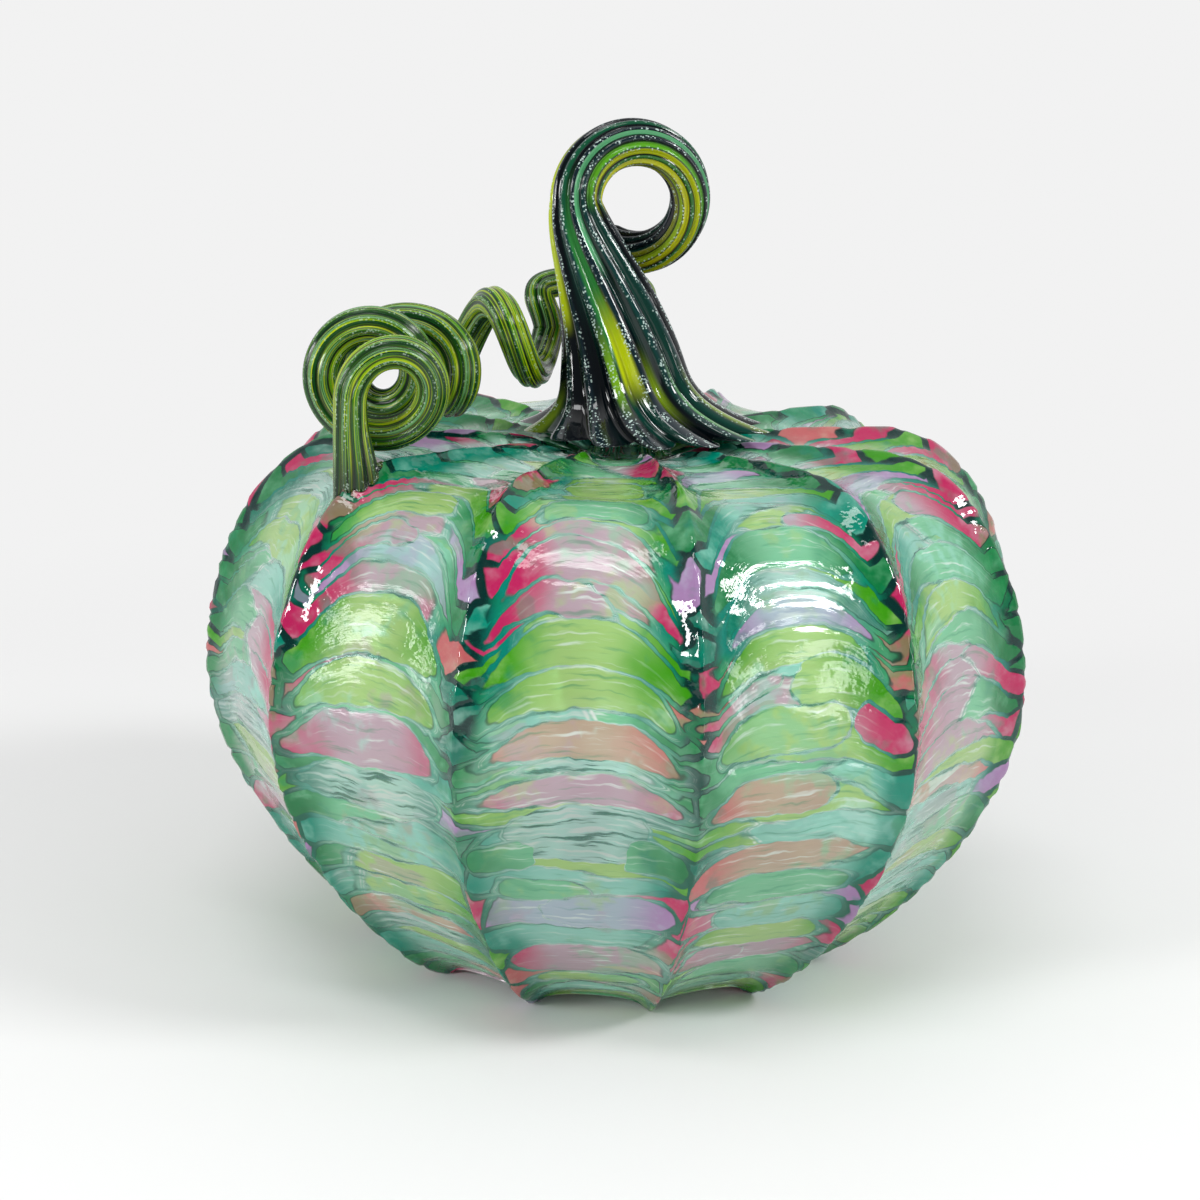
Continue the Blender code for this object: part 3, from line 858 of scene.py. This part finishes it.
def stem_line():
    """Points and radii up the stem, from the middle of its seat to the curl's tip behind the shaft."""
    foot = Vector((0.0, 0.0, SHOULDER_HEIGHT + STEM_TOE_THICKNESS))
    curl_start = foot + Vector((-STEM_LEAN, 0.0, STEM_RISE))
    points, radii = seat_rings(foot, STEM_FOOT_RADIUS)
    for step in range(SHAFT_STEPS):
        t = (step / SHAFT_STEPS) ** SHAFT_CROWDING
        point = bezier(foot, foot + STEM_LOW_BEND, curl_start - STEM_HIGH_BEND, curl_start, t)
        climb = point.z - foot.z
        shaft = mix(STEM_SHAFT_RADIUS, CURL_CANE_RADIUS, climb / STEM_RISE)
        points.append(point)
        radii.append(shaft + (STEM_FOOT_RADIUS - STEM_SHAFT_RADIUS) * stem_flare(climb))
    middle = curl_start + Vector((CURL_RADIUS, 0.0, 0.0))
    for step in range(CURL_STEPS + 1):
        t = step / CURL_STEPS
        angle = math.pi - t * CURL_ANGLE
        tightened = smooth(t / CURL_TIGHT_AT)
        widened = smooth((t - CURL_TIGHT_AT) / (1.0 - CURL_TIGHT_AT))
        reach = mix(CURL_RADIUS, CURL_TIGHT_RADIUS, tightened)
        reach += (CURL_TAIL_RADIUS - CURL_TIGHT_RADIUS) * widened
        cane = mix(CURL_CANE_RADIUS, CURL_THIN_RADIUS, tightened)
        cane += (CURL_TAIL_CANE_RADIUS - CURL_THIN_RADIUS) * widened
        back = CURL_SET_BACK * 0.5 * (t + t * t)
        points.append(middle + Vector((reach * math.cos(angle), back, reach * math.sin(angle))))
        radii.append(cane * rounded_end((t - CURL_TIP_FROM) / (1.0 - CURL_TIP_FROM)))
    return points, radii


def turn_at(turns):
    """The coil's middle above the shoulder, and its radius, after so many turns."""
    last = len(TENDRIL_TURNS) - 1
    i = min(max(int(turns), 0), last - 1)
    near = [Vector(TENDRIL_TURNS[min(max(i + k, 0), last)]) for k in (-1, 0, 1, 2)]
    rise = near[1] + (near[2] - near[0]) / 6.0
    fall = near[2] - (near[3] - near[1]) / 6.0
    place = bezier(near[1], rise, fall, near[2], turns - i)
    return place.to_3d(), place.w


def tendril_coil_point(turns):
    """A point on the corkscrew, which rises on the left of the way it faces: back, and later right."""
    middle, radius = turn_at(turns)
    aside = (turns - TENDRIL_SIDE_TURN_FROM) / (TENDRIL_SIDE_TURN_TO - TENDRIL_SIDE_TURN_FROM)
    facing = TENDRIL_SIDE_TURN * smooth(aside)
    to_right = Vector((math.cos(facing), -math.sin(facing), 0.0))
    angle = math.tau * turns
    return middle - to_right * radius * math.cos(angle) + Vector((0.0, 0.0, radius * math.sin(angle)))


def tendril_line():
    """Points and radii along the tendril: up from its pad, round the coil, and in an arch to its end."""
    turns = len(TENDRIL_TURNS) - 1
    coil = [tendril_coil_point(step / TURN_STEPS) for step in range(turns * TURN_STEPS + 1)]
    rise = Vector((0.0, 0.0, TENDRIL_PAD_RISE))
    seat, seat_radii = seat_rings(TENDRIL_PAD, TENDRIL_PAD_RADIUS)
    pad = [
        bezier(TENDRIL_PAD, TENDRIL_PAD + rise, coil[0] - rise, coil[0], step / PAD_STEPS)
        for step in range(PAD_STEPS)
    ]
    up = (coil[-1], coil[-1] + TENDRIL_ARCH_RISE, TENDRIL_CREST - TENDRIL_CREST_SWEEP, TENDRIL_CREST)
    down = (TENDRIL_CREST, TENDRIL_CREST + TENDRIL_CREST_SWEEP, TENDRIL_END + TENDRIL_ARCH_FALL, TENDRIL_END)
    shares = [(step + 1) / HALF_ARCH_STEPS for step in range(HALF_ARCH_STEPS)]
    arch = [bezier(*half, t) for half in (up, down) for t in shares]
    radii = []
    for step in range(PAD_STEPS):
        radii.append(mix(TENDRIL_PAD_RADIUS, TENDRIL_CANE_RADIUS, smooth(step / PAD_STEPS)))
    for step in range(len(coil)):
        t = step / (len(coil) - 1)
        radii.append(mix(TENDRIL_CANE_RADIUS, TENDRIL_THICK_RADIUS, math.sin(math.pi * smooth(t))))
    for step in range(len(arch)):
        radii.append(mix(TENDRIL_CANE_RADIUS, TENDRIL_END_RADIUS, (step + 1) / len(arch)))
    end, end_radii = seat_rings(TENDRIL_END, TENDRIL_END_RADIUS)
    shoulder = Vector((0.0, 0.0, SHOULDER_HEIGHT))
    points = [shoulder + point for point in seat + pad + coil + arch + end[::-1]]
    return points, seat_radii + radii + end_radii[::-1]


def cane_path(name, points, radii, twist):
    """A curve through the points, which keeps each point's radius and the twist of the cane."""
    line = bpy.data.curves.new(name, "CURVE")
    line.dimensions = "3D"
    spline = line.splines.new("POLY")
    spline.points.add(len(points) - 1)
    for i, point in enumerate(spline.points):
        point.co = (*points[i], 1.0)
        point.radius = radii[i]
        point.tilt = twist * i / (len(points) - 1)
    return placed(name, line)


def ridge_at(angle, flutes):
    """1 on a cane's ridges, falling to 0 in its grooves."""
    return (angle * flutes * 0.5).cosine().abs()


def make_cane(name, points, radii, twist, body, settings):
    """A fluted cane along the points, seated on the body."""
    path = cane_path(name + "_path", points, radii, twist)
    inputs = {"Path": path, "Body": body, **settings}
    tree, given = new_tree("Fluted cane: " + name, inputs)
    line = add(tree, "GeometryNodeObjectInfo", (given["Path"],)).outputs["Geometry"]
    spline = add(tree, "GeometryNodeSplineParameter")
    line = store(tree, line, "along", Number(tree, spline.outputs["Length"]))
    line = store(tree, line, "middle", position_in(tree), "FLOAT_VECTOR")
    sides = given["Flutes"] * SIDES_PER_FLUTE
    ring = out(tree, "GeometryNodeCurvePrimitiveCircle", {"Resolution": sides, "Radius": 1.0})
    around = Number(tree, add(tree, "GeometryNodeSplineParameter").outputs["Factor"]) * math.tau
    direction = vector(tree, around.cosine(), around.sine())
    ring = store(tree, ring, "round", direction, "FLOAT_VECTOR")
    radius = out(tree, "GeometryNodeInputRadius")
    swept = {"Curve": line, "Profile Curve": ring, "Scale": radius, "Fill Caps": True}
    cane = out(tree, "GeometryNodeCurveToMesh", swept)
    cane = settle(tree, flute(tree, cane, given), given["Body"])
    add(tree, "NodeGroupOutput", (finish_tree(tree, cane, given["Glass"]),))
    piece = grown(name, tree, inputs)
    bpy.data.objects.remove(path)
    return piece


def flute(tree, cane, given):
    """Draws a round cane in between its ridges, most deeply in a flared foot, and pulls that foot aside."""
    position = position_in(tree)
    middle = kept(tree, "middle", "FLOAT_VECTOR")
    cosine, sine, _ = parts_of(tree, kept(tree, "round", "FLOAT_VECTOR"))
    climb = parts_of(tree, position)[2] - given["Foot height"]
    flare = (1.0 - climb / STEM_FLARE_HEIGHT).max(0.0).min(1.0).power(STEM_FLARE_TIGHTNESS)
    ridge = ridge_at(sine.maths("ARCTAN2", cosine), given["Flutes"])
    depth = between(flare, given["Flute depth"], given["Toe depth"])
    spoke = vectors(tree, "SUBTRACT", position, middle)
    fluted = vectors(tree, "ADD", middle, vectors(tree, "SCALE", spoke, 1.0 - (1.0 - ridge) * depth))
    pulled = vectors(tree, "ADD", fluted, vector(tree, flare * given["Foot pull"]))
    return out(tree, "GeometryNodeSetPosition", {"Geometry": cane, "Position": pulled})


def settle(tree, geometry, body):
    """Lifts what lies lower than the body's skin onto it, a gap above it."""
    skin = add(tree, "GeometryNodeObjectInfo", (body,)).outputs["Geometry"]
    x, y, z = parts_of(tree, position_in(tree))
    above = vector(tree, x, y, 2.0 * SHOULDER_HEIGHT)
    inputs = {
        "Target Geometry": skin,
        "Source Position": above,
        "Ray Direction": (0.0, 0.0, -1.0),
        "Ray Length": 2.0 * SHOULDER_HEIGHT,
    }
    ray = add(tree, "GeometryNodeRaycast", inputs)
    hit = parts_of(tree, ray.outputs["Hit Position"])[2]

    # Over the pipe hole the ray passes the skin, so there the seat is no lower than the dimple
    seat = hit.max(SHOULDER_HEIGHT - DIMPLE_DEPTH) + SEAT_GAP
    near_axis = (x * x + y * y).below(SHOULDER_RADIUS * SHOULDER_RADIUS)
    seat = between(near_axis, hit + SEAT_GAP, seat)
    place = vector(tree, x, y, z.max(seat))
    return out(tree, "GeometryNodeSetPosition", {"Geometry": geometry, "Position": place})


# Materials


def new_material(name, roughness):
    """A material with the gloss of glass, its tree, its shader, and the place on the object."""
    material = bpy.data.materials.new(name)
    material.use_nodes = True
    tree = material.node_tree
    shader = tree.nodes["Principled BSDF"]
    shader.inputs["Roughness"].default_value = roughness
    shader.inputs["IOR"].default_value = GLASS_IOR
    return material, tree, shader, add(tree, "ShaderNodeTexCoord").outputs["Object"]


def kept_number(tree, label):
    """A number that a mesh keeps under a name, read in its material."""
    return Number(tree, add(tree, "ShaderNodeAttribute", attribute_name=label).outputs["Fac"])


def emboss(tree, shader, height, strength, depth):
    """Raises and sinks the fine detail of a surface."""
    inputs = {"Strength": strength, "Distance": depth, "Height": height}
    connect(tree, shader, "Normal", out(tree, "ShaderNodeBump", inputs))


def ramp(tree, factor, stops, interpolation):
    """A colour and an alpha picked by a number. Stops are numbers, each with its colour."""
    node = add(tree, "ShaderNodeValToRGB", (factor,))
    node.color_ramp.interpolation = interpolation
    elements = node.color_ramp.elements
    while len(elements) < len(stops):
        elements.new(1.0)
    for element, (at, value) in zip(elements, stops):
        element.position = at
        element.color = value
    return node.outputs["Color"], Number(tree, node.outputs["Alpha"])


def glass_picker(tree, pick, column):
    """The colour and the clearness of the glass that a number from 0 to 2 picks."""
    stops = []
    for on_rib in (0, 1):
        start = on_rib / 2
        for glass in CHIP_GLASSES.values():
            stops.append((start, (*colour(glass[column])[:3], glass[4])))
            start += glass[on_rib] / 2
    return ramp(tree, pick * 0.5, stops, "CONSTANT")


def chip_glass():
    """Chips fused into clear glass: thick and deep on the ribs, thin and pale in the panels."""
    material, tree, shader, place = new_material("chip_glass", 0.05)
    x, y, _ = parts_of(tree, place)
    turn = (x.maths("ARCTAN2", y * -1.0) - FIRST_RIB) / RIB_PITCH
    down = kept_number(tree, "down")
    chips = chip_pattern(tree, place, turn, down, CHIP_FRAYING)
    middle = chips["middle"]
    edge = chips["edge"]
    ragged = noise(tree, place, RAGGED_FINENESS)
    drift = noise(tree, place, DRIFT_FINENESS, 3.0)
    brushed = noise(tree, chips["lines"], BRUSHED_FINENESS, 3.0)
    lower = down.step(*THIN_BELOW, 0.0, THIN_LOW_GAIN)
    thin = (middle + drift * DRIFT_IN_THIN + lower).step(*THIN_ACROSS)

    # The chips, over others that lie deeper in the glass
    deep, clearness = glass_picker(tree, chips["pick"], 2)
    pale, _ = glass_picker(tree, chips["pick"], 3)
    mottled = noise(tree, place, MOTTLE_FINENESS, 3.0).step(-0.05, 0.3, 0.0, 0.45)
    chip = blend(tree, thin.max(mottled * (1.0 - thin)), deep, pale)
    under_pick, _, _ = cells(tree, vectors(tree, "SCALE", chips["flow"], UNDER_CHIP_SCALE))
    under, _ = glass_picker(tree, under_pick, 3)
    chip = blend(tree, (drift + ragged * 0.5).step(0.0, 0.16, 0.0, 0.50) * thin, chip, under)
    # Pale streaks in the thin chips, partly painted highlights of the ripples
    chip = blend(tree, brushed.step(0.06, 0.22, 0.0, 0.65) * thin, chip, BRUSHED_PALE_AND_HIGHLIGHT)
    chip = blend(tree, brushed.step(-0.05, -0.22, 0.0, 0.50) * thin, chip, BRUSHED_GREEN)
    # Painted reflections of ripples: pale and dark teal lines on the clear chips where they are stretched
    # thin
    ripple_reflecting = clearness.step(0.30, 0.36) * thin
    chip = blend(tree, brushed.step(0.02, 0.10, 0.0, 0.70) * ripple_reflecting, chip, RIPPLE_REFLECTION_PALE)
    chip = blend(tree, brushed.step(-0.03, -0.12, 0.0, 0.75) * ripple_reflecting, chip, RIPPLE_REFLECTION_TEAL)

    # The clear glass between them: nearly black or teal on a rib, emerald beside it, pale in a panel
    on_ridge = (middle + ragged * 0.1).step(*RIDGE_HALF_WIDTH, 1.0, 0.0)
    rib_gap = blend(tree, down.step(*LOW_GAP_AT), GAP_ON_RIB, GAP_BELOW_ON_RIB)
    emerald = blend(tree, drift.step(-0.1, 0.15), GAP_BESIDE_RIB, GAP_BESIDE_RIB_GREEN)
    gap = blend(tree, thin, blend(tree, on_ridge, emerald, rib_gap), GAP_IN_PANEL)
    gap = blend(tree, brushed.step(0.0, -0.12, 0.0, 0.80) * thin, gap, GAP_SHADE)
    gap_width = between(thin, *GAP_WIDTHS) + ragged * 0.10 + drift * between(thin, 0.08, 0.22)
    softness = between(thin, *GAP_SOFTNESS)
    in_gap = edge.step(gap_width - softness, gap_width + softness, 1.0, 0.0)
    skin = blend(tree, in_gap, chip, gap)

    # Colour that ran beside the ribs, dark outlines there, and thin white highlights painted on the chips'
    # edges in the panels
    smudge = (noise(tree, place, SMUDGE_FINENESS, 3.0) + drift * 0.5).step(0.02, 0.14) * (1.0 - thin)
    skin = blend(tree, smudge * 0.55, skin, emerald)
    outline = (edge - gap_width).abs().step(0.0, OUTLINE_WIDTH, 1.0, 0.0) * (1.0 - thin)
    skin = blend(tree, outline * drift.step(-0.1, 0.1, 0.2, 0.9), skin, GAP_ON_RIB)
    crest_highlight = (edge - CREST_HIGHLIGHT_WIDTH).abs().step(0.0, CREST_HIGHLIGHT_WIDTH, 1.0, 0.0) * thin
    skin = blend(tree, crest_highlight * brushed.step(-0.1, 0.1) * 0.9, skin, CREST_HIGHLIGHT)

    connect(tree, shader, "Base Color", skin)
    clear = between(in_gap, clearness + thin * 0.22, between(thin, 0.2, 0.70))
    connect(tree, shader, "Transmission Weight", clear)

    # Fine lines left by stretching, and pits beside the ribs
    lines = brushed * middle.step(0.1, 0.5) * 0.40
    pits = noise(tree, place, PIT_FINENESS, 2.0) * (1.0 - thin) * 1.1
    emboss(tree, shader, lines + pits, 0.6, PIT_DEPTH)
    return material


def inside_glass():
    """The clear inner face of the body's wall, faintly green and softly rippled."""
    material, tree, shader, place = new_material("inside_glass", 0.03)
    skin = blend(tree, noise(tree, place, 30.0).step(-0.2, 0.2), *INSIDE_TINTS)
    connect(tree, shader, "Base Color", skin)
    shader.inputs["Transmission Weight"].default_value = 1.0
    emboss(tree, shader, noise(tree, place, 120.0), 0.3, GRAIN_DEPTH)
    return material


def cane_reader(tree, flutes, drawing):
    """The turn round a cane, its ridges, the distance along it, and a place for noises drawn out along it.

    drawing gives that place's size in lumps of noise: its radius, and its length for each metre of cane.
    """
    circle = add(tree, "ShaderNodeAttribute", attribute_name="round").outputs["Vector"]
    cosine, sine, _ = parts_of(tree, circle)
    angle = sine.maths("ARCTAN2", cosine)
    along = kept_number(tree, "along")
    drawn = vector(tree, cosine * drawing[0], sine * drawing[0], along * drawing[1])
    return angle / math.tau + 0.5, ridge_at(angle, flutes), along, drawn


def finish_cane(tree, shader, place, skin, ridge, drawn, glint, glint_share):
    """Paints glints as white dots in lines along a cane's ridges, and grains its glass along its length."""
    inputs = {"Vector": place, "Scale": GLINT_FINENESS}
    cell = Number(tree, add(tree, "ShaderNodeTexVoronoi", inputs).outputs["Distance"])
    # Painted glints: white dots, in patches, along the ridges
    dots = cell.step(0.28, 0.44, 1.0, 0.0) * ridge.step(0.76, 0.92)
    patches = noise(tree, place, GLINT_PATCH_FINENESS, 3.0).step(-0.06, 0.05)
    connect(tree, shader, "Base Color", blend(tree, dots * patches * glint_share, skin, glint))
    emboss(tree, shader, noise(tree, drawn, GRAIN_FINENESS, 3.0), 0.5, GRAIN_DEPTH)


def stem_cane_glass():
    """Nearly black glass with lime and green streaks that wind up it."""
    material, tree, shader, place = new_material("stem_cane_glass", 0.06)
    turn, ridge, along, drawn = cane_reader(tree, STEM_FLUTES, STEM_DRAWING)
    skin = blend(tree, noise(tree, drawn, 1.0, 2.0).step(0.02, 0.2), STEM_BLACK, STEM_TEAL)
    skin = blend(tree, ridge.step(0.80, 1.0, 0.0, 0.35), skin, STEM_RIDGE)
    waver = noise(tree, drawn, 2.0, 3.0) * STREAK_WAVER
    for middle, half_width, start, end, code in STEM_STREAKS:
        inside = (turn - middle + waver).abs().step(half_width * 0.5, half_width, 1.0, 0.0)
        begun = along.step(start - STREAK_START, start + STREAK_START)
        ended = along.step(end - STREAK_END, end + STREAK_END, 1.0, 0.0)
        skin = blend(tree, inside * begun * ended, skin, code)
    finish_cane(tree, shader, place, skin, ridge, drawn, STEM_GLINT, 0.65)
    return material


def tendril_cane_glass():
    """Lime and dark green stripes drawn out along the cane, with painted shade in its grooves, and darkest
    at its pad.
    """
    material, tree, shader, place = new_material("tendril_cane_glass", 0.06)
    _, ridge, along, drawn = cane_reader(tree, TENDRIL_FLUTES, TENDRIL_DRAWING)
    waver = noise(tree, drawn, 1.0, 3.0, 0.7)
    stripes = [(at, colour(code)) for at, code in TENDRIL_STRIPES]
    skin, _ = ramp(tree, waver + 0.5, stripes, "LINEAR")
    # Painted shade: the grooves darkened
    skin = blend(tree, ridge.step(0.50, 0.05, 0.0, 0.85), skin, TENDRIL_GROOVE_SHADE)
    # Darker towards the pad, where the tendril rises from the body
    skin = blend(tree, (along + waver * 0.01).step(0.006, 0.016, 0.8, 0.0), skin, TENDRIL_PAD_DARK)
    finish_cane(tree, shader, place, skin, ridge, drawn, TENDRIL_GLINT, 0.35)
    shader.inputs["Transmission Weight"].default_value = 0.12
    return material


# Camera, table and lights


def facing_belly(azimuth, elevation, distance):
    """A place that faces the middle of the belly. Azimuth 0 is the front, and 90 degrees is the right."""
    seat = Matrix.Translation((0.0, 0.0, BELLY_HEIGHT)) @ Matrix.Rotation(azimuth, 4, "Z")
    seat = seat @ Matrix.Rotation(math.radians(90.0) - elevation, 4, "X")
    return seat @ Matrix.Translation((0.0, 0.0, distance))


def make_camera():
    """A camera that looks at the middle of the belly, and is then turned by small angles."""
    seat = facing_belly(0.0, CAMERA_ELEVATION, CAMERA_DISTANCE)
    for angle, axis in ((CAMERA_PITCH, "X"), (-CAMERA_YAW, "Y"), (CAMERA_ROLL, "Z")):
        seat = seat @ Matrix.Rotation(angle, 4, axis)
    camera = placed("camera", bpy.data.cameras.new("camera"))
    camera.matrix_world = seat
    camera.data.lens = CAMERA_LENS
    camera.data.sensor_width = 36.0
    camera.data.clip_end = 200.0
    bpy.context.scene.camera = camera


def make_surroundings():
    """A pale studio. The sky and the far table are one plain colour, and the near table keeps the shadow."""
    world = bpy.data.worlds.new("studio")
    world.use_nodes = True
    bpy.context.scene.world = world
    tree = world.node_tree
    path = add(tree, "ShaderNodeLightPath")
    camera, glossy, through = (
        Number(tree, path.outputs[f"Is {kind} Ray"]) for kind in ("Camera", "Glossy", "Transmission")
    )
    _, depth, _ = parts_of(tree, add(tree, "ShaderNodeTexCoord").outputs["Generated"])
    reflected = depth.step(*ROOM_EDGES, ROOM_BEHIND_CAMERA, BACKDROP)
    strength = between(camera.max(through), between(glossy, SKY_LIGHT, reflected), BACKDROP)
    background = tree.nodes["Background"]
    background.inputs["Color"].default_value = (1.0, 1.0, 1.0, 1.0)
    connect(tree, background, "Strength", strength)

    material, tree, shader, place = new_material("table", 0.6)
    shader.inputs["Specular IOR Level"].default_value = 0.2
    shader.inputs["Base Color"].default_value = (TABLE_ALBEDO, TABLE_ALBEDO, TABLE_ALBEDO, 1.0)
    x, y, _ = parts_of(tree, place)
    far = (x * x + y * y).power(0.5).step(*TABLE_FADE)
    glow = add(tree, "ShaderNodeEmission", {"Color": (BACKDROP, BACKDROP, BACKDROP, 1.0), "Strength": 1.0})
    both = add(tree, "ShaderNodeMixShader", (far, shader.outputs[0], glow.outputs[0]))
    tree.links.new(both.outputs[0], tree.nodes["Material Output"].inputs["Surface"])
    mesh = bpy.data.meshes.new("table")
    corners = [(i * TABLE_REACH, k * TABLE_REACH, 0.0) for i, k in ((-1, -1), (1, -1), (1, 1), (-1, 1))]
    mesh.from_pydata(corners, [], [(0, 1, 2, 3)])
    mesh.materials.append(material)
    table = placed("table", mesh)


def softbox(name, azimuth, elevation, distance, width, height, power):
    """A soft lamp aimed at the belly."""
    light = bpy.data.lights.new(name, "AREA")
    light.shape = "RECTANGLE"
    light.size = width
    light.size_y = height
    light.energy = power
    lamp = placed(name, light)
    lamp.visible_camera = False
    lamp.matrix_world = facing_belly(math.radians(azimuth), math.radians(elevation), distance)


make_camera()
make_surroundings()
for lamp_name, lamp in LAMPS.items():
    softbox(lamp_name, *lamp)

body = make_body()
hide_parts("body_shell")
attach(body, "root")

stem_settings = {
    "Flutes": STEM_FLUTES,
    "Flute depth": STEM_FLUTE_DEPTH,
    "Toe depth": STEM_TOE_DEPTH,
    "Foot height": SHOULDER_HEIGHT + STEM_TOE_THICKNESS,
    "Foot pull": STEM_FOOT_PULL,
    "Glass": stem_cane_glass(),
}
stem = make_cane("curled_stem", *stem_line(), STEM_TWIST, body, stem_settings)
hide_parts("stem")
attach(stem, "root")

tendril_settings = {
    "Flutes": TENDRIL_FLUTES,
    "Flute depth": TENDRIL_FLUTE_DEPTH,
    "Toe depth": TENDRIL_FLUTE_DEPTH,
    "Foot height": SHOULDER_HEIGHT,
    "Foot pull": 0.0,
    "Glass": tendril_cane_glass(),
}
tendril = make_cane("corkscrew_tendril", *tendril_line(), TENDRIL_TWIST, body, tendril_settings)
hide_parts("tendril")
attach(tendril, "root")

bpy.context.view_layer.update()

view_settings = bpy.context.scene.view_settings
view_settings.view_transform = "Standard"
